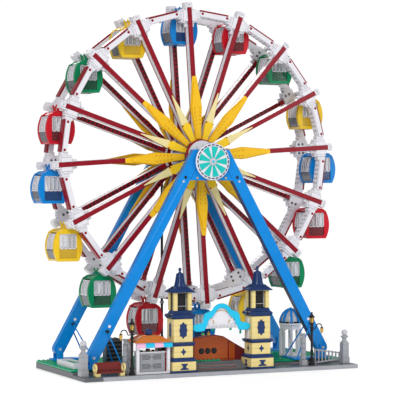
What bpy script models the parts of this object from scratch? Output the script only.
"""Toy ferris wheel built of plastic bricks, with its little fairground entrance.

Sizes are in millimetres and become metres in one place, the helper at().
The frame: X runs to the right along the entrance, -Y is the entrance side, Z is up.
The origin is on the ground under the middle of the base. A brick stud is 8 mm wide,
a plate is 3.2 mm high and a brick is 9.6 mm high.
"""

import math

import bmesh
import bpy
from mathutils import Matrix, Vector

MM = 0.001
STUD = 8.0
PLATE = 3.2
BRICK = 9.6
SEAT = 0.3

# The wheel: 16 spokes in two rings that share one axle along Y.
SPOKES = 16
STEP = 2 * math.pi / SPOKES
REST_TURN = math.radians(3.87)
HUB_Z = 372.0
WHEEL_Y = 38.0
RING_OUTER = 44.8
RING_INNER = 27.2
TILE_R = 260.0
RIM_INNER_R = 233.0
BRACKET_R = 270.0
BRACKET_STEP_R = 258.0
BRACKET_HALF = 12.0
BEAM_MIDDLE_R = 246.8
BEAM_HALF = 28.0
HUB_R = 28.0
AXLE_R = 8.0
BORE_R = 8.6
KITE_R = 140.0
KITE_WIDE_R = 85.0
WEDGE_R = 117.0
WEDGE_BASE_R = 61.0
PETAL_THICK = 6.4

# Each gondola hangs from a rod that spans the gap between the rings.
PIVOT_R = 262.0
ROD_R = 1.6
CABIN_TOP = -9.0
CABIN_FLOOR = -65.0
CABIN_WAIST = 26.0
CABIN_DEPTH = 23.0
CABIN_WALL = 2.2
COLOURS = ("blue", "yellow", "green", "red")

# The two A-frames, seen from the front as one outline each.
LEG_SLOPE = 0.56
LEG_OUTER_AT_HUB = 39.4
LEG_INNER_AT_HUB = 16.6
HEAD_TOP = 382.0
GUSSET_Z = 329.0
FOOT_X = 218.0
FOOT_Z = 32.5
FRAME_THICK = 14.0
FRONT_FRAME_Y = -53.0
BACK_FRAME_Y = 110.0
CHEEK = 2.6
BEARING_R = 22.0
BOSS = 2.8
DISC_R = 32.0
DISC_Z = 361.0

# The base.
BASE_X = 256.0
BASE_Y = 120.0
DECK_Z = 12.8
TERRACE_Z = 6.4
DECK_FRONT_Y = -64.0
KERB = STUD

# The entrance.
TOWER_X = {"left": -75.0, "right": 71.5}
TOWER_Y = -93.0
TOWER_HALF_X = 17.5
TOWER_HALF_Y = 14.0
CORNICE_HALF_X = 20.5
CORNICE_TOP = 57.0
SIGN_Y = -96.0
SIGN_THICK = 3.2
STEPS_FRONT_Y = -100.0
STEP_DEPTH = 8.0
STEP_RISE = 4.2
RAMP_X = (30.2, 47.0)
PAVILION = (190.0, 8.0)


def at(*millimetres):
    """A point or a size in metres."""
    return Vector(millimetres) * MM


def clear_scene():
    for old in list(bpy.data.objects):
        bpy.data.objects.remove(old, do_unlink=True)


def new_collection(name, shown):
    collection = bpy.data.collections.new(name)
    collection.hide_render = not shown
    bpy.context.scene.collection.children.link(collection)
    return collection


def new_material(name, colour, roughness=0.3, metallic=0.0, alpha=1.0):
    material = bpy.data.materials.new(name)
    material.use_nodes = True
    shader = material.node_tree.nodes["Principled BSDF"]
    shader.inputs["Base Color"].default_value = (*colour, 1.0)
    shader.inputs["Roughness"].default_value = roughness
    shader.inputs["Metallic"].default_value = metallic
    shader.inputs["Alpha"].default_value = alpha
    return material


clear_scene()
PARTS = new_collection("toy_ferris_wheel", True)
CUTTERS = new_collection("cutters", False)
WHITE = new_material("white_plastic", (0.86, 0.86, 0.88))
DARK_RED = new_material("dark_red_plastic", (0.30, 0.02, 0.04))
YELLOW = new_material("yellow_plastic", (0.86, 0.50, 0.03))
BLUE = new_material("blue_plastic", (0.01, 0.25, 0.74))
BLACK = new_material("black_plastic", (0.02, 0.02, 0.025))
DARK_GREY = new_material("dark_grey_plastic", (0.13, 0.14, 0.15))
LIGHT_GREY = new_material("light_grey_plastic", (0.42, 0.44, 0.47))
GREEN = new_material("green_plastic", (0.0, 0.25, 0.10))
CREAM = new_material("cream_plastic", (0.80, 0.66, 0.36))
NAVY = new_material("navy_plastic", (0.02, 0.06, 0.22))
TURQUOISE = new_material("turquoise_plastic", (0.05, 0.60, 0.72))
ORANGE = new_material("orange_brown_plastic", (0.50, 0.13, 0.02))
CABIN_PLASTIC = {
    "blue": BLUE,
    "yellow": YELLOW,
    "green": GREEN,
    "red": new_material("red_plastic", (0.62, 0.01, 0.02)),
}


def show(name, mesh, material, helper=False):
    """Puts a mesh in the scene, as a piece of the toy or as a helper that only shapes one."""
    thing = bpy.data.objects.new(name, mesh)
    (CUTTERS if helper else PARTS).objects.link(thing)
    if helper:
        thing.hide_render = True
        thing.display_type = "WIRE"
    if material:
        mesh.materials.append(material)
    return thing


def block(name, low, high, material=None, helper=False):
    """A box between two corners."""
    mesh = bpy.data.meshes.new(name)
    shape = bmesh.new()
    bmesh.ops.create_cube(shape, size=1.0)
    low, high = at(*low), at(*high)
    bmesh.ops.scale(shape, vec=high - low, verts=shape.verts)
    bmesh.ops.translate(shape, vec=(low + high) / 2, verts=shape.verts)
    shape.to_mesh(mesh)
    shape.free()
    return show(name, mesh, material, helper)


def rod(name, start, end, radius, material=None, sides=8, end_radius=None, helper=False):
    """A round bar, or a cone where end_radius differs, from start to end."""
    start, end = at(*start), at(*end)
    along = end - start
    mesh = bpy.data.meshes.new(name)
    shape = bmesh.new()
    bmesh.ops.create_cone(
        shape,
        cap_ends=True,
        segments=sides,
        radius1=radius * MM,
        radius2=(radius if end_radius is None else end_radius) * MM,
        depth=along.length,
    )
    turn = Vector((0, 0, 1)).rotation_difference(along).to_matrix()
    bmesh.ops.rotate(shape, cent=(0, 0, 0), matrix=turn, verts=shape.verts)
    bmesh.ops.translate(shape, vec=(start + end) / 2, verts=shape.verts)
    shape.to_mesh(mesh)
    shape.free()
    return show(name, mesh, material, helper)


def ball(name, centre, radius, material=None, sides=10, helper=False):
    mesh = bpy.data.meshes.new(name)
    shape = bmesh.new()
    bmesh.ops.create_uvsphere(shape, u_segments=sides, v_segments=sides // 2 + 1, radius=radius * MM)
    bmesh.ops.translate(shape, vec=at(*centre), verts=shape.verts)
    shape.to_mesh(mesh)
    shape.free()
    return show(name, mesh, material, helper)


def plate(name, outlines, y_low, y_high, material=None, helper=False):
    """A flat piece that stands in the XZ plane: closed outlines of (x, z), holes among them."""
    curve = bpy.data.curves.new(name, "CURVE")
    curve.dimensions = "2D"
    curve.fill_mode = "BOTH"
    curve.extrude = (y_high - y_low) / 2 * MM
    for outline in outlines:
        spline = curve.splines.new("POLY")
        spline.points.add(len(outline) - 1)
        spline.use_cyclic_u = True
        for point, (x, z) in zip(spline.points, outline):
            point.co = (x * MM, z * MM, 0, 1)
    flat = bpy.data.objects.new(name + "_curve", curve)
    PARTS.objects.link(flat)
    flat.matrix_world = Matrix.Translation(at(0, (y_low + y_high) / 2, 0)) @ Matrix.Rotation(
        math.pi / 2, 4, "X"
    )
    return solid_copy(flat, name, material, helper)


def solid_copy(source, name, material=None, helper=False):
    """The evaluated source as a welded mesh of its own; the source is removed."""
    bpy.context.view_layer.update()
    graph = bpy.context.evaluated_depsgraph_get()
    mesh = bpy.data.meshes.new_from_object(source.evaluated_get(graph))
    mesh.transform(source.matrix_world)
    bpy.data.objects.remove(source, do_unlink=True)
    mesh.materials.clear()
    shape = bmesh.new()
    shape.from_mesh(mesh)
    bmesh.ops.remove_doubles(shape, verts=shape.verts, dist=0.00001)
    bmesh.ops.recalc_face_normals(shape, faces=shape.faces)
    shape.to_mesh(mesh)
    shape.free()
    mesh.name = name
    return show(name, mesh, material, helper)


def turned(name, profile, centre, material=None, sides=24, along_y=False, helper=False):
    """A turned shape. Its profile lists (radius, height) down the outer side, top to bottom."""
    mesh = bpy.data.meshes.new(name + "_profile")
    points = [at(radius, 0, height) for radius, height in profile]
    mesh.from_pydata(points, [(i, i + 1) for i in range(len(points) - 1)], [])
    lathe = bpy.data.objects.new(name + "_lathe", mesh)
    PARTS.objects.link(lathe)
    screw = lathe.modifiers.new("turn", "SCREW")
    screw.axis = "Z"
    screw.steps = screw.render_steps = sides
    screw.use_merge_vertices = True
    screw.merge_threshold = 0.00005
    place = Matrix.Translation(at(*centre))
    if along_y:
        place = place @ Matrix.Rotation(math.pi / 2, 4, "X")
    lathe.matrix_world = place
    return solid_copy(lathe, name, material, helper)


def join(base, pieces):
    """Fuses closed pieces into base, which keeps its name and material."""
    return boolean(base, pieces, "UNION")


def cut(base, pieces):
    return boolean(base, pieces, "DIFFERENCE")


def boolean(base, pieces, operation):
    name, material = base.name, base.active_material
    for piece in pieces:
        change = base.modifiers.new(operation.lower(), "BOOLEAN")
        change.operation = operation
        change.object = piece
        change.solver = "EXACT"
    base.name = name + "_uncut"
    result = solid_copy(base, name, material)
    for piece in pieces:
        bpy.data.objects.remove(piece, do_unlink=True)
    return result


def on_spoke(index, aside, radius):
    """(x, z) of a point on a spoke: aside is measured across it, counter-clockwise from the front."""
    angle = REST_TURN + index * STEP
    x = -radius * math.sin(angle) - aside * math.cos(angle)
    z = radius * math.cos(angle) - aside * math.sin(angle)
    return x, HUB_Z + z


def circle(x, z, radius, sides=24):
    turn = 2 * math.pi / sides
    return [(x + radius * math.cos(i * turn), z + radius * math.sin(i * turn)) for i in range(sides)]


def star(arms):
    """A closed outline from each spoke's own points, given as (aside, radius)."""
    return [on_spoke(i, *point) for i in range(SPOKES) for point in arms[i % len(arms)]]


def ring_y(side, near, far):
    """The two Y values of a layer of a ring, from its distances to the wheel's middle."""
    ends = (WHEEL_Y + side * near, WHEEL_Y + side * far)
    return min(ends), max(ends)


def rim(name, side, layer):
    """The rim of one ring: straight beams between the stepped brackets on the spoke ends."""
    half_step = math.cos(STEP / 2), math.sin(STEP / 2)

    def from_beam(aside, radius):
        across = radius * half_step[1] + aside * half_step[0]
        return across, radius * half_step[0] - aside * half_step[1]

    beam_top = BEAM_MIDDLE_R + BRICK / 2 + PLATE
    beam_bottom = BEAM_MIDDLE_R - BRICK / 2
    right_top = from_beam(-BEAM_HALF, beam_top)
    right_bottom = from_beam(-BEAM_HALF, beam_bottom)
    tip_half = 7.0
    outer = [
        (-right_top[0], right_top[1]),
        (-BRACKET_HALF, 252),
        (-BRACKET_HALF, BRACKET_STEP_R),
        (-tip_half, BRACKET_STEP_R),
        (-tip_half, BRACKET_R),
        (tip_half, BRACKET_R),
        (tip_half, BRACKET_STEP_R),
        (BRACKET_HALF, BRACKET_STEP_R),
        (BRACKET_HALF, 252),
        right_top,
    ]
    inner = [
        (-right_bottom[0], right_bottom[1]),
        (-BRACKET_HALF, 240),
        (-BRACKET_HALF, RIM_INNER_R),
        (BRACKET_HALF, RIM_INNER_R),
        (BRACKET_HALF, 240),
        right_bottom,
    ]
    return plate(name, [star([outer]), star([inner])], *ring_y(side, *layer), WHITE)


def wheel_ring(side, name):
    """One ring: white spoke cores and rim, dark red tiles on them, petals and hub."""
    core = (RING_INNER, RING_OUTER - PLATE - SEAT)
    rim(f"{name}_rim", side, core)
    spoke = [(-STUD / 2, HUB_R), (-STUD / 2, RIM_INNER_R - SEAT), (STUD / 2, RIM_INNER_R - SEAT), (STUD / 2, HUB_R)]
    bore = circle(0, HUB_Z, AXLE_R + SEAT)
    plate(f"{name}_spokes", [star([spoke]), bore], *ring_y(side, *core), WHITE)
    tile = [(-STUD / 2, HUB_R), (-STUD / 2, TILE_R), (STUD / 2, TILE_R), (STUD / 2, HUB_R)]
    layer = ring_y(side, RING_OUTER - PLATE, RING_OUTER)
    plate(f"{name}_spoke_tiles", [star([tile]), bore], *layer, DARK_RED)
    kite = [(-5, HUB_R), (-6, 45), (-11, KITE_WIDE_R), (-4, KITE_R), (4, KITE_R), (11, KITE_WIDE_R), (6, 45), (5, HUB_R)]
    wedge = [(-4.5, HUB_R), (-8, WEDGE_BASE_R), (-0.5, WEDGE_R), (0.5, WEDGE_R), (8, WEDGE_BASE_R), (4.5, HUB_R)]
    layer = ring_y(side, RING_OUTER + SEAT, RING_OUTER + PETAL_THICK)
    plate(f"{name}_petals", [star([kite, wedge]), bore], *layer, YELLOW)
    hub_back = RING_OUTER + PETAL_THICK + SEAT
    hub_mid = hub_back + 6.4
    hub_face = hub_mid + PLATE
    profile = [
        (AXLE_R + SEAT, hub_face),
        (26.4, hub_face),
        (26.4, hub_mid),
        (28.7, hub_mid),
        (28.7, hub_back),
        (AXLE_R + SEAT, hub_back),
        (AXLE_R + SEAT, hub_face),
    ]
    hub = turned(f"{name}_hub", profile, (0, 0, 0), WHITE, 24)
    turn = Matrix.Rotation(math.pi / 2 if side < 0 else -math.pi / 2, 4, "X")
    hub.data.transform(Matrix.Translation(at(0, WHEEL_Y, HUB_Z)) @ turn)


def cabin_outline(inset, floor, roof):
    """The barrel outline of a cabin below its pivot, as (x, z)."""
    waist_z = (CABIN_FLOOR + CABIN_TOP) / 2 - 3
    shoulder = CABIN_TOP - 6 - inset
    heights = [floor, -58, -49, waist_z, -31, -22, shoulder]
    side = [(CABIN_WAIST - inset - (z - waist_z) ** 2 / 92, z) for z in heights]
    top = [(12 - inset / 2, roof - 1), (0, roof)]
    right = side + top
    return right + [(-x, z) for x, z in reversed(right[:-1])]


def cabin():
    """One hollow cabin below its pivot, with open windows, and two clips on its own rod."""
    body = plate("cabin", [cabin_outline(0, CABIN_FLOOR, CABIN_TOP)], -CABIN_DEPTH, CABIN_DEPTH)
    hollow = plate(
        "hollow",
        [cabin_outline(CABIN_WALL, CABIN_FLOOR + 2.4, CABIN_TOP - 3)],
        -CABIN_DEPTH + CABIN_WALL,
        CABIN_DEPTH - CABIN_WALL,
        helper=True,
    )
    front_window = block("front_window", (-16, -30, -46), (16, 30, -15), helper=True)
    side_window = block("side_window", (-40, -15, -41), (40, 15, -16), helper=True)
    body = cut(body, [hollow, front_window, side_window])
    reach = RING_INNER - SEAT
    clips = [rod("rod", (0, -reach, 0), (0, reach, 0), ROD_R, helper=True)]
    for y in (-STUD, STUD):
        arc = [math.radians(a) for a in range(-230, 51, 35)]
        outer = [(3.8 * math.cos(a), 3.8 * math.sin(a)) for a in arc]
        inner = [(1.3 * math.cos(a), 1.3 * math.sin(a)) for a in reversed(arc)]
        clips.append(plate(f"clip_{y}", [outer + inner], y - 2, y + 2, helper=True))
        clips.append(block(f"stem_{y}", (-2, y - 2, CABIN_TOP - 1), (2, y + 2, -2.6), helper=True))
    return join(body, clips)


def gondolas():
    """All cabins share one mesh; each hangs level with its origin on its own pivot."""
    pattern = cabin()
    mesh = pattern.data
    bpy.data.objects.remove(pattern, do_unlink=True)
    for i in range(SPOKES):
        x, z = on_spoke(i, 0, PIVOT_R)
        copy = bpy.data.objects.new(f"gondola_{i + 1:02d}", mesh.copy())
        copy.data.materials.clear()
        copy.data.materials.append(CABIN_PLASTIC[COLOURS[i % len(COLOURS)]])
        copy.location = at(x, WHEEL_Y, z)
        PARTS.objects.link(copy)
    bpy.data.meshes.remove(mesh)


def axle():
    """The axle turns with the wheel in the bearings of both frames."""
    start = (0, FRONT_FRAME_Y - FRAME_THICK / 2, HUB_Z)
    end = (0, BACK_FRAME_Y + FRAME_THICK / 2, HUB_Z)
    shaft = rod("axle", start, end, AXLE_R, DARK_GREY, 24)
    drum_ends = (WHEEL_Y - RING_INNER + SEAT, WHEEL_Y + RING_INNER - SEAT)
    drum = rod("drum", (0, drum_ends[0], HUB_Z), (0, drum_ends[1], HUB_Z), 24, None, 24, helper=True)
    join(shaft, [drum])


def leg_edge(distance_at_hub, z):
    return distance_at_hub + LEG_SLOPE * (HUB_Z - z)


def frame_outline():
    """Half of the A-frame's outline from the top of its head round the right foot to the gusset."""
    radius = (LEG_OUTER_AT_HUB - LEG_INNER_AT_HUB) / 2 * math.cos(math.atan(LEG_SLOPE))
    lean = math.atan(LEG_SLOPE)
    foot = []
    for i in range(7):
        angle = lean - i * math.pi / 6
        foot.append((FOOT_X + radius * math.cos(angle), FOOT_Z + radius * math.sin(angle)))
    right = [(leg_edge(LEG_OUTER_AT_HUB, HEAD_TOP), HEAD_TOP)] + foot
    right.append((leg_edge(LEG_INNER_AT_HUB, GUSSET_Z), GUSSET_Z))
    return right + [(-x, z) for x, z in reversed(right)]


def leg_middle(z):
    return leg_edge((LEG_OUTER_AT_HUB + LEG_INNER_AT_HUB) / 2, z)


def a_frame(name, y, side):
    """One A-frame with its bearing boss outside; side is -1 at the front and 1 at the back."""
    holes = [circle(0, HUB_Z, BORE_R)]
    for x, z in ((FOOT_X, FOOT_Z), (leg_middle(84), 84), (leg_middle(76), 76), (leg_middle(334), 334)):
        radius = 2.9 if z == 76 else 2.4
        holes += [circle(x, z, radius, 8), circle(-x, z, radius, 8)]
    frame = plate(name, [frame_outline()] + holes, y - FRAME_THICK / 2, y + FRAME_THICK / 2, BLUE)
    ends = sorted((y + side * (FRAME_THICK / 2 - 0.5), y + side * (FRAME_THICK / 2 + BOSS)))
    boss = plate("boss", [circle(0, HUB_Z, BEARING_R), circle(0, HUB_Z, BORE_R)], *ends, helper=True)
    join(frame, [boss])


def front_disc():
    """The round ornament on the front bearing, a little below the axle."""
    face = FRONT_FRAME_Y - FRAME_THICK / 2 - BOSS - SEAT
    profile = [(0, 4.8), (5, 4.8), (6, PLATE), (DISC_R - 1, PLATE), (DISC_R, 2), (DISC_R, 0), (0, 0)]
    turned("front_disc", profile, (0, face, DISC_Z), WHITE, 32, along_y=True)


def foot(name, side_x, side_y, frame_y):
    """The bracket under one leg, with two thin braces from a pin in the leg down to its plate."""
    inward = -side_y
    low_z = DECK_Z + SEAT
    plate_top = low_z + PLATE
    y_out = frame_y + side_y * (FRAME_THICK / 2 + SEAT + CHEEK)
    y_in = frame_y + inward * (FRAME_THICK / 2 + SEAT + CHEEK)

    def box(label, x_range, y_range, z_range):
        xs = sorted(side_x * x for x in x_range)
        ys = sorted(y_range)
        return block(label, (xs[0], ys[0], z_range[0]), (xs[1], ys[1], z_range[1]), BLUE, label != name)

    pin_x, pin_z = leg_middle(76), 76
    base = box(name, (160, 232), (y_out, y_in), (low_z, plate_top))
    outer_cheek = box("outer", (212, 224), (y_out, y_out + inward * CHEEK), (low_z, FOOT_Z + 5.5))
    inner_cheek = box("inner", (212, 224), (y_in, y_in - inward * CHEEK), (low_z, FOOT_Z + 5.5))
    ear = box("ear", (160, 170), (y_in, y_in + inward * 30), (low_z, plate_top))
    pin = rod("pin", (side_x * pin_x, y_out, pin_z), (side_x * pin_x, y_in, pin_z), 2.4, None, 8, helper=True)
    braces = []
    for label, top_y, bottom_y in (("near", y_out + inward * 1.3, y_out + inward * 1.3), ("far", y_in, y_in + inward * 26)):
        start = (side_x * pin_x, top_y, pin_z)
        end = (side_x * 165, bottom_y, low_z + 1)
        braces.append(rod(label, start, end, 1.3, None, 6, helper=True))
    foot_pin = rod("foot_pin", (side_x * FOOT_X, y_out, FOOT_Z), (side_x * FOOT_X, y_in, FOOT_Z), 2.1, None, 8, helper=True)
    join(base, [foot_pin, outer_cheek, inner_cheek, ear, pin] + braces)


def base():
    """The rear deck, the lower front terrace and its light kerb."""
    deck = block("base_deck", (-BASE_X, DECK_FRONT_Y, 0), (BASE_X, BASE_Y, BRICK), DARK_GREY)
    front = (-BASE_X, -BASE_Y + KERB + SEAT, 0), (BASE_X, DECK_FRONT_Y + 1, TERRACE_Z)
    join(deck, [block("terrace", *front, helper=True)])
    low, high = (-BASE_X + 8, DECK_FRONT_Y + 8, BRICK + SEAT), (BASE_X - 8, BASE_Y - 1, DECK_Z)
    block("deck_plates", low, high, GREEN)
    block("kerb", (-BASE_X, -BASE_Y, 0), (BASE_X, -BASE_Y + KERB, TERRACE_Z), LIGHT_GREY)


def tower(side):
    """A square cream tower with navy bands, an open belfry and a pointed roof."""
    x, y = TOWER_X[side], TOWER_Y
    low = TERRACE_Z + SEAT
    name = f"{side}_tower"

    def tier(label, half_x, half_y, z_low, z_high):
        corner = (x - half_x, y - half_y, z_low), (x + half_x, y + half_y, z_high)
        return block(label, *corner, CREAM, label != name)

    body = tier(name, 21.5, 19, low, 24.7)
    tiers = [
        tier("plinth", 24, 20, low, low + PLATE),
        tier("band", CORNICE_HALF_X, 17.5, 24, 31),
        tier("second", TOWER_HALF_X, 15, 30, 52),
        tier("cornice", CORNICE_HALF_X, 17, 51, CORNICE_TOP),
        tier("upper", TOWER_HALF_X, TOWER_HALF_Y, 56, 97),
        tier("crown", CORNICE_HALF_X, 17, 96, 104),
        tier("floor", TOWER_HALF_X - 1, TOWER_HALF_Y - 1, 103, 110),
    ]
    roof_low = 140.0
    posts = [rod("lantern", (x, y, 109), (x, y, roof_low - 4), 5, None, 8, helper=True)]
    for dx in (-1, 1):
        for dy in (-1, 1):
            px, py = x + dx * (TOWER_HALF_X - 5.2), y + dy * (TOWER_HALF_Y - 5.2)
            posts.append(rod("post", (px, py, 109), (px, py, roof_low), 4, None, 8, helper=True))
    join(body, tiers + posts)
    spire = [(0, 41.5), (2.2, 40.5), (3, 37.5), (1.8, 35), (2.6, 33), (6.4, 31), (9.4, 14), (11, 9), (0, 9)]
    spire_top = turned(f"{name}_roof", spire, (x, y, roof_low + SEAT), NAVY, 12)
    eave = rod("eave", (0, 0, 0), (0, 0, 10), 29, None, 4, end_radius=15, helper=True)
    eave.data.transform(Matrix.Rotation(math.pi / 4, 4, "Z"))
    eave.data.transform(Matrix.Diagonal((1, 0.86, 1, 1)))
    eave.data.transform(Matrix.Translation(at(x, y, roof_low + SEAT)))
    join(spire_top, [eave])


def arch_outline():
    """The scalloped sign band between the towers, as one closed outline of (x, z)."""
    def arc(cx, cz, radius, start, stop, steps):
        turn = math.radians(stop - start) / steps
        return [
            (cx + radius * math.cos(math.radians(start) + i * turn), cz + radius * math.sin(math.radians(start) + i * turn))
            for i in range(steps + 1)
        ]

    end = arc(47.5, 79.5, 6.5, -90, 70, 5)
    shoulder = arc(26, 97, 8, 10, 75, 3)
    right = end + [(36, 87.5)] + shoulder
    crown = arc(0, 100, 20, 25, 155, 8)
    outer = right + crown + [(-x, z) for x, z in reversed(right)]
    rise = [(33, 73), (27, 84), (24, 93), (16, 98)]
    under = arc(0, 99, 13, 160, 20, 6)
    return outer + [(-x, z) for x, z in rise] + under + list(reversed(rise))


def sign():
    """The bare sign panel on a bar between the towers, framed by the turquoise band in front of it."""
    y_low, y_high = SIGN_Y - SIGN_THICK / 2, SIGN_Y + SIGN_THICK / 2
    x_low = TOWER_X["left"] + TOWER_HALF_X + SEAT
    x_high = TOWER_X["right"] - TOWER_HALF_X - SEAT
    bar = block("sign_panel", (x_low, y_low, 80.5), (x_high, y_high, 84), WHITE)
    ends = []
    for x in (x_low, x_high - 2.4):
        ends.append(block("end", (x, y_low, CORNICE_TOP + SEAT), (x + 2.4, y_high + 4, 94), helper=True))
    steps = 8
    top = [(24 * math.cos(math.pi * i / steps), 90 + 24 * math.sin(math.pi * i / steps)) for i in range(steps + 1)]
    outline = [(-33, 80.5), (33, 80.5), (31, 90)] + top + [(-31, 90)]
    join(bar, [*ends, plate("panel", [outline], y_low, y_high, helper=True)])
    plate("sign_arch", [arch_outline()], y_low - SEAT - PLATE, y_low - SEAT, TURQUOISE)


def along_x(name, outline, x_low, x_high, material=None, helper=False):
    """A piece with the same (y, z) outline all along X."""
    piece = plate(name, [outline], -x_high, -x_low, material, helper)
    piece.data.transform(Matrix.Rotation(math.pi / 2, 4, "Z"))
    return piece


def platform():
    """The boarding wall between the towers, and the steps and the ramp up to it."""
    floor = BRICK + SEAT
    wall = [(-37, floor), (62, floor), (62, 36), (46, 45), (20, 60), (6, 63), (-37, 59)]
    plate("platform_wall", [wall], -63, -57, ORANGE)
    low = TERRACE_Z + SEAT
    back = DECK_FRONT_Y - SEAT
    stairs = [(back, low), (STEPS_FRONT_Y, low)]
    risers = 3
    for i in range(risers):
        front = STEPS_FRONT_Y + i * STEP_DEPTH
        stairs += [(front, low + (i + 1) * STEP_RISE), (front + STEP_DEPTH, low + (i + 1) * STEP_RISE)]
    top = low + risers * STEP_RISE
    stairs[-1] = (back, top)
    flight = along_x("platform_steps", stairs, -48, RAMP_X[0] + 0.1, DARK_GREY)
    ramp = [(back, low), (STEPS_FRONT_Y, low), (STEPS_FRONT_Y, low + 1), (STEPS_FRONT_Y + 23, top), (back, top)]
    join(flight, [along_x("ramp", ramp, *RAMP_X, helper=True)])


def booth():
    """The ticket booth: cabinets, four posts on a floor plate, and a hipped roof with an awning."""
    x_low, x_high, y_low, y_high = -160, -99.4, -108, -66
    floor_z = TERRACE_Z + SEAT
    floor = block("booth_posts", (x_low, y_low, floor_z), (x_high, y_high, floor_z + PLATE), WHITE)
    posts = []
    for x in (x_low + 3, x_high - 3):
        for y in (y_low + 3, y_high - 3):
            posts.append(rod("post", (x, y, floor_z + 1), (x, y, 58), 2.2, None, 8, helper=True))
    join(floor, posts)
    low, high = (x_low + 7, y_low + 6, floor_z + PLATE + SEAT), (x_high - 7, y_high - 14, 41)
    cabinets = block("booth_cabinets", low, high, LIGHT_GREY)
    bays = []
    for i in range(2):
        for j in range(2):
            x = low[0] + 3 + i * 21
            z = low[2] + 3 + j * 15
            bays.append(block("bay", (x, y_low - 5, z), (x + 17, y_low + 18, z + 12), helper=True))
    cut(cabinets, bays)
    eave_z = 58 + SEAT
    mid = (x_low + x_high) / 2, (y_low + y_high) / 2
    roof = rod("booth_roof", (0, 0, 0), (0, 0, 11.5), 40, ORANGE, 4, end_radius=17)
    roof.data.transform(Matrix.Rotation(math.pi / 4, 4, "Z"))
    roof.data.transform(Matrix.Diagonal((1.12, 0.8, 1, 1)))
    roof.data.transform(Matrix.Translation(at(mid[0], mid[1], eave_z)))
    knob = ball("knob", (mid[0], mid[1], eave_z + 15.5), 6.5, helper=True)
    awning = block("awning", (x_low - 2, y_low - 6, eave_z - 7.5), (x_high + 2, y_low - 0.5, eave_z + 0.5), helper=True)
    join(roof, [knob, awning])


def stone_pillar(name, x, y, top, half, with_ball):
    """A square pillar with a foot and a waisted capital, as wide as half on each side."""
    low = TERRACE_Z + SEAT
    shoulder = top - 12
    pillar = block(name, (x - half, y - half, low), (x + half, y + half, shoulder), LIGHT_GREY)
    foot_block = block("foot", (x - half - 1, y - half - 1, low), (x + half + 1, y + half + 1, low + 10), helper=True)
    neck = rod("neck", (x, y, shoulder - 1), (x, y, top - 5), half * 0.75, None, 8, helper=True)
    cap = rod("cap", (x, y, top - 6), (x, y, top), half * 0.75, None, 8, end_radius=half * 1.15, helper=True)
    pieces = [foot_block, neck, cap]
    if with_ball:
        pieces.append(ball("globe", (x, y, top + 5), 5.5, helper=True))
    return join(pillar, pieces)


def lamp(name, x, y, side_x, arm_z):
    """A black street lamp with a lantern on top and a smaller one on an arm."""
    low = TERRACE_Z + SEAT
    hat = [(0, 93), (1.8, 92), (2.6, 86), (6.6, 84), (6, 82.5), (3.8, 82)]
    profile = hat + [(3.8, 73), (3, 71), (2.8, 12), (5, 4), (5, 0), (0, 0)]
    post = turned(name, profile, (x, y, low), BLACK, 8)
    reach = side_x * 20
    arm = rod("arm", (x, y, arm_z), (x + reach, y, arm_z + 3), 1.3, None, 6, helper=True)
    hook = rod("hook", (x + reach, y, arm_z + 5), (x + reach, y, arm_z - 1), 1.3, None, 6, helper=True)
    small = rod("small", (x + reach, y, arm_z), (x + reach, y, arm_z - 9), 2.2, None, 8, end_radius=3.4, helper=True)
    join(post, [arm, hook, small])


def bench():
    """A bench with a slatted back and scrolled ends."""
    low = TERRACE_Z + SEAT
    x_low, x_high = -230.6, -184.5
    seat = block("bench", (x_low, -108, low + 4), (x_high, -97, low + 7.2), DARK_RED)
    back = block("back", (x_low, -101, low + 6), (x_high, -98, low + 22.5), helper=True)
    legs = []
    for x in (x_low - 2, x_high - 6):
        legs.append(block("leg", (x, -109, low), (x + 8, -98, low + 5), helper=True))
    scrolls = []
    for x in (x_low - 4.5, x_high + 2):
        scrolls.append(rod("scroll", (x, -103, low + 13), (x + 2.5, -103, low + 13), 8, None, 12, helper=True))
        scrolls.append(block("tie", (x, -105, low + 4), (x + 2.5, -99, low + 7), helper=True))
    ties = [block("rail", (x_low - 3, -104, low + 4.5), (x_high + 3, -101, low + 6.5), helper=True)]
    join(seat, [back] + legs + scrolls + ties)


def fence():
    """A railing panel whose height falls to the right, and the pillar that it ends on."""
    x_low, x_high, y = 188.0, 239.5, -85.0
    low_rail, high_rail = (7.5, 12.5), (33.0, 25.0)
    outline = [(x_low, low_rail[0]), (x_high, low_rail[1]), (x_high, high_rail[1]), (x_low, high_rail[0])]
    bays = 7
    pitch = (x_high - x_low - 2) / bays
    rail = 3.0

    def level(heights, x):
        return heights[0] + (heights[1] - heights[0]) * (x - x_low) / (x_high - x_low)

    holes = []
    for i in range(bays):
        left = x_low + 2 + i * pitch
        right = left + pitch - 2
        bottom = [(x, level(low_rail, x) + rail) for x in (left, right)]
        top = [(x, level(high_rail, x) - rail) for x in (right, left)]
        holes.append(bottom + top)
    panel = plate("railing", [outline] + holes, y - 1.6, y + 1.6, LIGHT_GREY)
    foot_block = block("foot", (x_low, y - 1.6, TERRACE_Z + SEAT), (x_low + 3, y + 1.6, 9), helper=True)
    join(panel, [foot_block, stone_pillar("pillar", 245, -91, 55, 6, True)])


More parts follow.
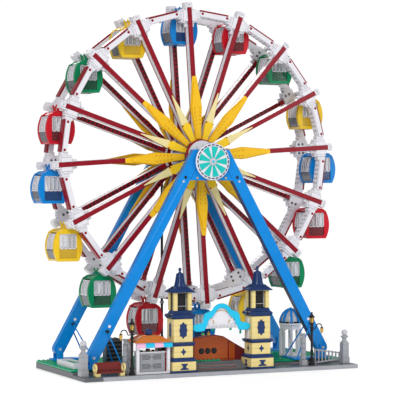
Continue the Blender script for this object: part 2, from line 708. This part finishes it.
def pavilion():
    """The open white pavilion on the deck: a ring of columns under a blue-ribbed dome."""
    x, y = PAVILION
    low = DECK_Z + SEAT
    profile = [(0, 87), (3, 86), (11, 81), (17, 73), (21, 60), (21, 55), (0, 55)]
    top = turned("pavilion", profile, (x, y, low), WHITE, 16)
    columns = []
    for i in range(8):
        angle = math.radians(22.5 + 45 * i)
        px, py = x + 18 * math.cos(angle), y + 18 * math.sin(angle)
        columns.append(rod("column", (px, py, low + 1), (px, py, low + 56), 2.4, None, 8, helper=True))
    step = rod("step", (x, y, low), (x, y, low + PLATE), 21, None, 16, helper=True)
    join(top, columns + [step])


def machinery():
    """The grey housing on the deck and the black drive shaft beside the back frame."""
    low = DECK_Z + SEAT
    block("machine_housing", (-176, -11, low), (-146, 5, 58), DARK_GREY)
    y = 96.5
    shaft = rod("drive_shaft", (-25, y, low + 8), (-25, y, 334), 2.4, BLACK, 8)
    gearbox = block("gearbox", (-37, y - 8, low), (-13, y + 4, low + 16), helper=True)
    holder = block("holder", (-29, y - 4, 331), (-21, y + 6.2, 338), helper=True)
    join(shaft, [gearbox, holder])


def planter():
    """The white planting bed on the deck's left edge."""
    low = DECK_Z + SEAT
    block("planter", (-246, -40, low), (-222, 40, low + BRICK), WHITE)


def main():
    wheel_ring(-1, "front")
    wheel_ring(1, "back")
    gondolas()
    axle()
    a_frame("front_frame", FRONT_FRAME_Y, -1)
    a_frame("back_frame", BACK_FRAME_Y, 1)
    front_disc()
    for side_x, label in ((-1, "left"), (1, "right")):
        foot(f"front_{label}_foot", side_x, -1, FRONT_FRAME_Y)
        foot(f"back_{label}_foot", side_x, 1, BACK_FRAME_Y)
        tower(label)
    base()
    sign()
    platform()
    booth()
    stone_pillar("left_pillar", -248, -91, 55, 6, True)
    stone_pillar("left_column", -172, -88, 65, 4.4, False)
    stone_pillar("right_column", 161, -94, 62, 4.4, False)
    lamp("left_lamp", -166, -102, -1, 73)
    lamp("right_lamp", 176, -97, 1, 70)
    bench()
    fence()
    pavilion()
    machinery()
    planter()


main()
